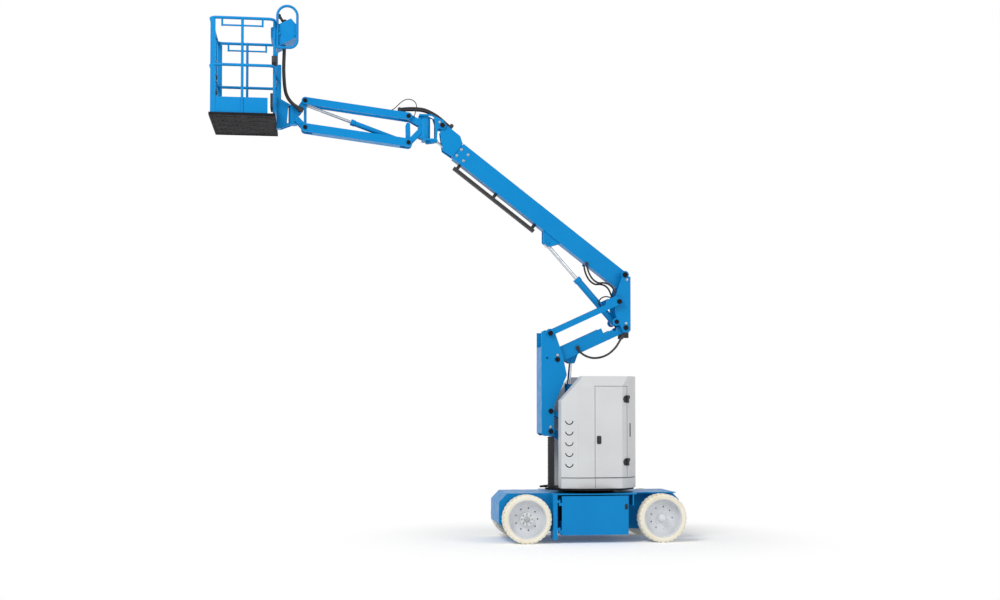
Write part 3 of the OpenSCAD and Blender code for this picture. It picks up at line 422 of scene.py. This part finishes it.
def finish_piece(name, bm, finish, body, sharp=35.0):
    mesh = bpy.data.meshes.new(name)
    bm.to_mesh(mesh)
    bm.free()
    mesh.materials.append(finish)
    mesh.shade_smooth()
    mesh.set_sharp_from_angle(angle=math.radians(sharp))
    return link_piece(name, mesh, body)


def smooth_line(points, steps=8):
    """A smooth line through points in millimetres, as points in metres."""
    pts = [at(*p) for p in points]
    ends = [2 * pts[0] - pts[1]] + pts + [2 * pts[-1] - pts[-2]]
    line = []
    for a, b, c, d in zip(ends, ends[1:], ends[2:], ends[3:]):
        for i in range(steps):
            t = i / steps
            line.append(0.5 * (2 * b + (c - a) * t + (2 * a - 5 * b + 4 * c - d) * t * t
                               + (3 * b - a - 3 * c + d) * t ** 3))
    return line + [pts[-1]]


def hose(name, line, diameter, body=None):
    """A mesh tube along a line."""
    data = bpy.data.curves.new(name, "CURVE")
    data.dimensions = "3D"
    data.bevel_depth = diameter / 2 * MM
    data.bevel_resolution = 3
    data.use_fill_caps = True
    spline = data.splines.new("POLY")
    spline.points.add(len(line) - 1)
    for point, place in zip(spline.points, line):
        point.co = (*place, 1.0)
    curve = bpy.data.objects.new(name + "_line", data)
    bpy.context.scene.collection.objects.link(curve)
    bpy.context.view_layer.update()
    mesh = bpy.data.meshes.new_from_object(curve.evaluated_get(bpy.context.evaluated_depsgraph_get()))
    bpy.data.objects.remove(curve)
    bpy.data.curves.remove(data)
    mesh.name = name
    mesh.materials.clear()
    mesh.materials.append(HOSE)
    mesh.shade_smooth()
    return link_piece(name, mesh, body)


def joint_hose(name, points, diameter):
    """A hose along a smooth line through the points, left in the world on no body."""
    line = smooth_line(points)
    obj = hose(name, line, diameter)
    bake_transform(obj)


# Pins and bolts

MID_PLATE, TOP_PLATE, LINK_PLATE, BRACKET_PLATE, JIB_PLATE = 180.0, 160.0, 209.0, 94.0, 87.0
UPPER_LINK_UP = (-88.0, 310.0)
PIN_HEADS = [
    ("mid_pivot", MID_LOW, MID_PLATE, 30.0), ("mid_pivot", shifted(MID_LOW, 0, 240), MID_PLATE, 30.0),
    ("mid_pivot", MID_HIGH, MID_PLATE, 30.0),
    ("mid_pivot", shifted(MID_HIGH, *UPPER_LINK_UP), LINK_PLATE, 30.0),
    ("upper_pivot", TOP_ARM, TOP_PLATE, 30.0),
    ("upper_pivot", shifted(TOP_ARM, *UPPER_LINK_UP), LINK_PLATE, 30.0),
    ("upper_pivot", BOOM_PIN, TOP_PLATE, 32.0), ("upper_pivot", LIFT_BASE, TOP_PLATE, 27.0),
    ("level_bracket", TIP, BRACKET_PLATE, 29.0), ("jib_base", JIB_BASE_LOW, JIB_PLATE, 25.0),
    ("jib_base", JIB_BASE_HIGH, JIB_PLATE, 25.0), ("jib_head", JIB_HEAD_LOW, JIB_PLATE, 25.0),
    ("jib_head", JIB_HEAD_HIGH, JIB_PLATE, 25.0),
]


def pin_heads():
    """Each pivot pin ends in a chamfered head with a grease nipple in its recess."""
    for i, (body, (x, z), plate, r) in enumerate(PIN_HEADS):
        bm = bmesh.new()
        for _, side in SIDES:
            add_turned(bm, [(0, 0), (r, 0), (r, 8), (r - 2.5, 10.5), (r * 0.42, 10.5), (r * 0.36, 8.5),
                            (7, 8.5), (5, 12), (4, 15), (0, 15)],
                       stand(at(x, side * plate, z), (0, side, 0)), 32)
        finish_piece("pin_heads_%d" % i, bm, BLACK_METAL, body)


KEEPERS = [
    ("mid_pivot", MID_LOW, (-4, 54), MID_PLATE), ("mid_pivot", MID_HIGH, (0, 52), MID_PLATE),
    ("upper_pivot", TOP_ARM, (2, 52), TOP_PLATE), ("upper_pivot", BOOM_PIN, (22, -58), TOP_PLATE),
    ("level_bracket", TIP, (-34, 36), BRACKET_PLATE),
]


def pin_keepers():
    """A plated bolt beside each large pin keeps it from turning."""
    for i, (body, (x, z), (dx, dz), plate) in enumerate(KEEPERS):
        bm = bmesh.new()
        for _, side in SIDES:
            add_bolt(bm, at(x + dx, side * plate, z + dz), (0, side, 0), 17.0)
        finish_piece("pin_keeper_%d" % i, bm, ZINC, body)


BOOM_HALF = 75.0
PAD_BOLTS = [(2458, -25), (2357, -25), (2458, -115), (2357, -115)]


def boom_bolts():
    bm = bmesh.new()
    for x, z in (on_boom(u, v) for u, v in PAD_BOLTS):
        for _, side in SIDES:
            add_bolt(bm, at(x, side * BOOM_HALF, z), (0, side, 0), 17.0)
    finish_piece("wear_pad_bolts", bm, ZINC, "boom")


# Wheels

AXLE_X, AXLE_Z = 800.0, 282.5
DRIVE_FACE, STEER_FACE = 526.0, 542.0


def wheel_hubs():
    """A bolted cover on each drive hub and a domed grease cap on each steered one."""
    for name, side in SIDES:
        out = (0, side, 0)
        drive = bmesh.new()
        centre = at(-AXLE_X, side * DRIVE_FACE, AXLE_Z)
        add_turned(drive, [(40, 0), (40, 3), (37, 5), (24, 5), (22, 9), (19, 11), (10, 11), (8, 6), (0, 6)],
                   stand(centre, out), 48)
        for i in range(8):
            turn = math.tau * i / 8
            add_bolt(drive, centre + at(60 * math.cos(turn), 0, 60 * math.sin(turn)), out, 13.0)
        finish_piece("drive_hub_cover_" + name, drive, ZINC, "wheel_drive_" + name)
        steer = bmesh.new()
        add_turned(steer, [(44, 0), (44, 4), (41, 8), (40, 12), (35, 18), (26, 22), (14, 24.5), (0, 25)],
                   stand(at(AXLE_X, side * STEER_FACE, AXLE_Z), out), 48)
        finish_piece("steer_grease_cap_" + name, steer, RIM, "wheel_steer_" + name)


# Covers

TAIL_R = 600.0
FLAT_Y = 500.0
FLAT_END = math.sqrt(TAIL_R ** 2 - FLAT_Y ** 2)
SKIRT_SEAM_Z = 758.0
HINGES = (936.0, 1673.0)
DOOR_EDGE = 402.0


def on_tail(side, x, z):
    """The frame on the round tail of a cover: X toward the tail's middle, Y up, Z out."""
    a = math.asin(x / TAIL_R)
    out = Vector((math.sin(a), side * math.cos(a), 0.0))
    along = Vector((math.cos(a), -side * math.sin(a), 0.0))
    place = out * TAIL_R * MM + UP * z * MM
    return Matrix.Translation(place) @ Matrix((along, UP, out)).transposed().to_4x4()


def rounded(w, h, r, n=6):
    """The outline of a rectangle with round corners, about its middle."""
    corners = ((w / 2 - r, h / 2 - r, 0), (r - w / 2, h / 2 - r, 90),
               (r - w / 2, r - h / 2, 180), (w / 2 - r, r - h / 2, 270))
    return [(x + r * math.cos(math.radians(a + 90 * i / n)), y + r * math.sin(math.radians(a + 90 * i / n)))
            for x, y, a in corners for i in range(n + 1)]


def half_round(r, h, n=14):
    """A hinge cup's outline: flat on its tail side and round on the other."""
    return [(-r * math.sin(math.pi * i / n), -h / 2 * math.cos(math.pi * i / n)) for i in range(n + 1)]


def door_fittings():
    """Cups round the hinges, and a paddle latch on the door's free edge."""
    for name, side in SIDES:
        door = bmesh.new()
        for z in HINGES:
            add_plate(door, half_round(62, 88), 5, 1.5, on_tail(side, DOOR_EDGE - 8, z))
        finish_piece("door_hinge_cups_" + name, door, BLACK, "door_" + name)
        latch = bmesh.new()
        on_face = stand(at(56, side * FLAT_Y, 1195), (0, side, 0))
        add_plate(latch, rounded(52, 96, 12), 5, 1.5, on_face)
        add_block(latch, (-13, -32, 3), (13, 30, 17), 5, on_face)
        finish_piece("door_latch_" + name, latch, BLACK, "door_" + name)


def cover_fittings():
    """A dark upright strip on the tail and the tail's half of the hinge cups."""
    for name, side in SIDES:
        bm = bmesh.new()
        add_plate(bm, rounded(20, 164, 9), 3, 1, on_tail(side, 448, 1310))
        for z in HINGES:
            add_plate(bm, rounded(26, 88, 4), 4, 1, on_tail(side, 424, z))
        finish_piece("tail_fittings_" + name, bm, BLACK, "turret")


def cover_plan(side):
    """The outline of a cover seen from above, from its front edge round to the tail."""
    tail = [math.acos(FLAT_Y / TAIL_R) + i * math.radians(2.0) for i in range(1, 15)]
    return [(-380, side * 430), (-203, side * FLAT_Y), (FLAT_END, side * FLAT_Y)] + [
        (TAIL_R * math.sin(a), side * TAIL_R * math.cos(a)) for a in tail]


def skirt_seals():
    """The rubber strip along the seam between each cover and its skirt."""
    for name, side in SIDES:
        bm = bmesh.new()
        line = [bm.verts.new(at(x, y, SKIRT_SEAM_Z - 9)) for x, y in cover_plan(side)]
        edges = [bm.edges.new(pair) for pair in zip(line, line[1:])]
        raised = bmesh.ops.extrude_edge_only(bm, edges=edges)["geom"]
        bmesh.ops.translate(bm, vec=at(0, 0, 8), verts=only_verts(raised))
        bmesh.ops.recalc_face_normals(bm, faces=bm.faces)
        if sum(f.normal.y * side for f in bm.faces) < 0:
            bmesh.ops.reverse_faces(bm, faces=bm.faces)
        bmesh.ops.solidify(bm, geom=bm.faces[:], thickness=-2.5 * MM)
        bmesh.ops.recalc_face_normals(bm, faces=bm.faces)
        add_block(bm, (9, side * FLAT_Y - 1, 632), (13, side * FLAT_Y + 2, 750), 0.8)
        finish_piece("skirt_seal_" + name, bm, BLACK, "turret")


# Chassis

TRAY_FACE = 550.0
TRAY_HALF = 394.0


def tray_latches():
    for name, side in SIDES:
        bm = bmesh.new()
        on_face = stand(at(TRAY_HALF - 26, side * TRAY_FACE, 420), (0, side, 0))
        add_plate(bm, rounded(36, 62, 8), 4, 1, on_face)
        add_block(bm, (-7, -22, 2), (7, 22, 13), 4, on_face)
        finish_piece("tray_latch_" + name, bm, BLACK, "tray_" + name)


# Hoses

def riser_hose():
    """The hose that hangs from the upper arm to the clamp under the upper pivot."""
    joint_hose("arm_hose", [
        (-128, -132, 2290), (-106, -140, 2244), (-64, -166, 2204), (-6, -192, 2174), (60, -204, 2162),
        (150, -206, 2174), (240, -206, 2216), (318, -205, 2288), (366, -203, 2360), (404, -196, 2420),
        (430, -182, 2446), (448, -166, 2456)], 26.0)


def boom_base_hoses():
    """Loops of hose from the upper pivot to the boom's underside and to the lift cylinder."""
    for name, side in SIDES:
        joint_hose("boom_hose_" + name, [
            (366, 142 * side, 2880), (338, 128 * side, 2946), (304, 114 * side, 3012),
            (256, 106 * side, 3054),
            (196, 100 * side, 3070), (144, 98 * side, 3068), (100, 96 * side, 3086), (58, 94 * side, 3124),
            (24, 92 * side, 3182), (4, 88 * side, 3242), (-6, 84 * side, 3300)], 22.0)
    joint_hose("lift_hose", [
        (362, -141, 2820), (322, -126, 2862), (274, -112, 2894), (220, -102, 2904), (172, -90, 2886),
        (148, -72, 2850), (154, -52, 2812), (176, -34, 2790)], 16.0)


def jib_hoses():
    """The bundle over the jib's turning block, running from the clamp at the boom's nose to the clamp on the
    upper arm.
    """
    over_nose = [(-1650, 4908), (-1686, 4936), (-1724, 4970), (-1766, 5004), (-1810, 5036), (-1856, 5062)]
    over_block = [(-1856, 5062), (-1896, 5082), (-1938, 5098), (-1982, 5108), (-2030, 5112)]
    over_arm = [(-2030, 5112), (-2082, 5114), (-2139, 5112), (-2200, 5106), (-2252, 5098)]
    for i, (y, lift) in enumerate(((-15.0, 0.0), (15.0, 0.0), (0.0, 24.0))):
        for part, route, a, b in (("nose", over_nose, "boom_extension", "level_bracket"),
                                  ("block", over_block, "level_bracket", "jib_base"),
                                  ("arm", over_arm, "jib_base", "jib_upper_arm")):
            joint_hose("jib_hose_%s_%d" % (part, i), [(x, y, z + lift) for x, z in route], 26.0)
    joint_hose("jib_loop", [
        (-2084, -58, 5012), (-2070, -60, 5056), (-2056, -62, 5104), (-2052, -64, 5150), (-2068, -66, 5192),
        (-2108, -68, 5220), (-2156, -70, 5226), (-2206, -72, 5208), (-2260, -73, 5164), (-2312, -74, 5112),
        (-2352, -74, 5088)], 11.0)


HOSE_CLAMPS = [
    ("nose_hose_clamp", "boom_extension", on_boom(2724, 95), BOOM_ANGLE, 58.0),
    ("arm_hose_clamp", "jib_upper_arm", shifted(JIB_BASE_HIGH, -107, 56), JIB_ANGLE, 50.0),
]


def hose_clamps():
    """Bolted clamp blocks that hold the ends of the jib's bundle."""
    for name, body, (x, z), lean, tall in HOSE_CLAMPS:
        bm = bmesh.new()
        seat = Matrix.Translation(at(x, 0, z)) @ Matrix.Rotation(lean, 4, "Y")
        add_block(bm, (-22, -44, -1), (22, 44, tall), 4, seat)
        for side in (-33, 33):
            add_bolt(bm, seat @ at(0, side, tall), seat.to_3x3() @ UP, 11.0)
        finish_piece(name, bm, BLACK, body)


HOSE_CLIPS = [
    ("boom_hose_clip_near", "boom", (-6, 3300), BOOM_ANGLE, (-100, -74), 18.0),
    ("boom_hose_clip_far", "boom", (-6, 3300), BOOM_ANGLE, (74, 100), 18.0),
    ("arm_hose_clip", "upper_arm", (-126, 2288), -RISER_ANGLE, (-148, -119), 20.0),
    ("cable_clip", "jib_head", (-3411, 5066), JIB_ANGLE, (-100, -55), 28.0),
]


def hose_clips():
    """A bolted clip at each place where a hose leaves the plate that carries it."""
    for name, body, (x, z), lean, (y0, y1), half in HOSE_CLIPS:
        bm = bmesh.new()
        seat = Matrix.Translation(at(x, 0, z)) @ Matrix.Rotation(lean, 4, "Y")
        add_block(bm, (-half, y0, -half), (half, y1, half), 4, seat)
        side = math.copysign(1, y0)
        face = y0 if side < 0 else y1
        for dz in (-half + 6, half - 6):
            add_bolt(bm, seat @ at(0, face, dz), (0, side, 0), 8.0)
        finish_piece(name, bm, BLACK, body)


def platform_cable():
    """The sleeve that brings hoses and leads from the jib up to the control box."""
    joint_hose("platform_cable", [
        (-3411, -72, 5066), (-3446, -90, 5086), (-3494, -114, 5114), (-3540, -140, 5156), (-3576, -170, 5216),
        (-3594, -204, 5290), (-3602, -238, 5380), (-3606, -272, 5480), (-3604, -298, 5580),
        (-3600, -312, 5680), (-3598, -318, 5746)], 42.0)


# Platform

PANEL_LEAN = math.atan2(118.0, 228.0)


def on_panel(along, y):
    """The frame on the leaning face of the control box: Z out of the face, X up its slope."""
    place = at(CONTROL_X - 75 + along * math.cos(PANEL_LEAN), y,
               TOP_RAIL_Z - 68 + along * math.sin(PANEL_LEAN))
    return Matrix.Translation(place) @ Matrix.Rotation(-PANEL_LEAN, 4, "Y")


def control_panel():
    """Bellows round the levers, a row of toggles with guards, and the red stop button."""
    black = bmesh.new()
    for y in (CONTROL_NEAR + 60, CONTROL_NEAR + 150):
        add_turned(black, [(40, 0), (40, 3), (34, 6), (36, 11), (29, 14), (31, 19), (24, 22),
                           (26, 27), (16, 32)], on_panel(178, y), 28)
    for i in range(5):
        add_turned(black, [(9, 0), (9, 4), (5, 6), (4, 20), (5, 24), (3, 27), (0, 28)],
                   on_panel(70, CONTROL_NEAR + 40 + 42 * i), 16)
    add_block(black, (-62, -120, 0), (-50, 120, 26), 4, on_panel(112, CONTROL_NEAR + 145))
    finish_piece("control_panel_fittings", black, BLACK, "platform")
    stop = bmesh.new()
    add_turned(stop, [(14, 0), (14, 16), (26, 18), (28, 22), (26, 28), (16, 32), (0, 33)],
               on_panel(150, CONTROL_NEAR + 240), 28)
    finish_piece("stop_button", stop, RED, "platform")


def post_socket():
    """The covered power socket strapped to the near rear post."""
    bm = bmesh.new()
    x, y, z = REAR_RAIL_X, -478.0, FLOOR_Z + 644
    add_block(bm, (x - 30, y - 26, z - 56), (x + 30, y + 26, z + 56), 6)
    add_block(bm, (x - 24, y - 44, z - 30), (x + 24, y - 24, z + 34), 5)
    for dz in (-40, 44):
        add_bolt(bm, at(x, y - 26, z + dz), (0, -1, 0), 10.0)
    finish_piece("post_socket", bm, BLACK, "platform")


GATE_X = PLATFORM_FRONT + 17.0


def gate_latch():
    """The sliding bolt that holds the gate to its far post."""
    bm = bmesh.new()
    for z in (FLOOR_Z + 430, FLOOR_Z + 610):
        add_block(bm, (GATE_X - 22, 246, z - 22), (GATE_X + 22, 268, z + 22), 5)
        add_turned(bm, [(0, 0), (8, 0), (8, 34), (6, 36), (0, 36)], stand(at(GATE_X, 266, z), (0, 1, 0)), 16)
    finish_piece("gate_latch", bm, BLACK, "gate")


# Two-colour solids

BATTERY_BACK = 280.0


def is_battery(x, y, z):
    return 104 < z and abs(x) < TRAY_HALF - 9 and BATTERY_BACK < abs(y) < TRAY_FACE - 10


def is_lever(x, y, z):
    """Near the leaning axis of either control lever, above the panel."""
    lean = math.radians(32.0)
    rise = Vector((x - CONTROL_X - 80, z - TOP_RAIL_Z - 4))
    axis = Vector((-math.sin(lean), math.cos(lean)))
    off = abs(rise.cross(axis))
    return rise.dot(axis) > 14 and off < 19 and y > CONTROL_NEAR + 30 and y < CONTROL_NEAR + 180


def paint_details():
    """The faces of a solid that another material shows on."""
    for name, _ in SIDES:
        repaint("tray_" + name, BLACK, is_battery)
        repaint("cover_" + name, BLACK, lambda x, y, z: math.hypot(x, y) > TAIL_R + 0.6)
        repaint("door_" + name, BLACK, lambda x, y, z: math.hypot(x, y) > TAIL_R + 0.6)
    repaint("turret_frame", BLACK_METAL, lambda x, y, z: z < 630)
    repaint("control_box", BLACK, is_lever)


add_camera()
add_world()
area_light("key", (-9.0, -9.0, 13.0), (-1.0, 0.0, 2.5), 7.0, KEY_WATTS)
area_light("fill", (9.0, -10.0, 7.0), (0.0, 0.0, 2.0), 8.0, FILL_WATTS)
add_floor()
dress_frame()
paint_details()
pin_heads()
pin_keepers()
boom_bolts()
wheel_hubs()
door_fittings()
cover_fittings()
skirt_seals()
tray_latches()
riser_hose()
boom_base_hoses()
jib_hoses()
hose_clamps()
hose_clips()
platform_cable()
control_panel()
post_socket()
gate_latch()

bpy.context.scene.view_settings.view_transform = "Standard"
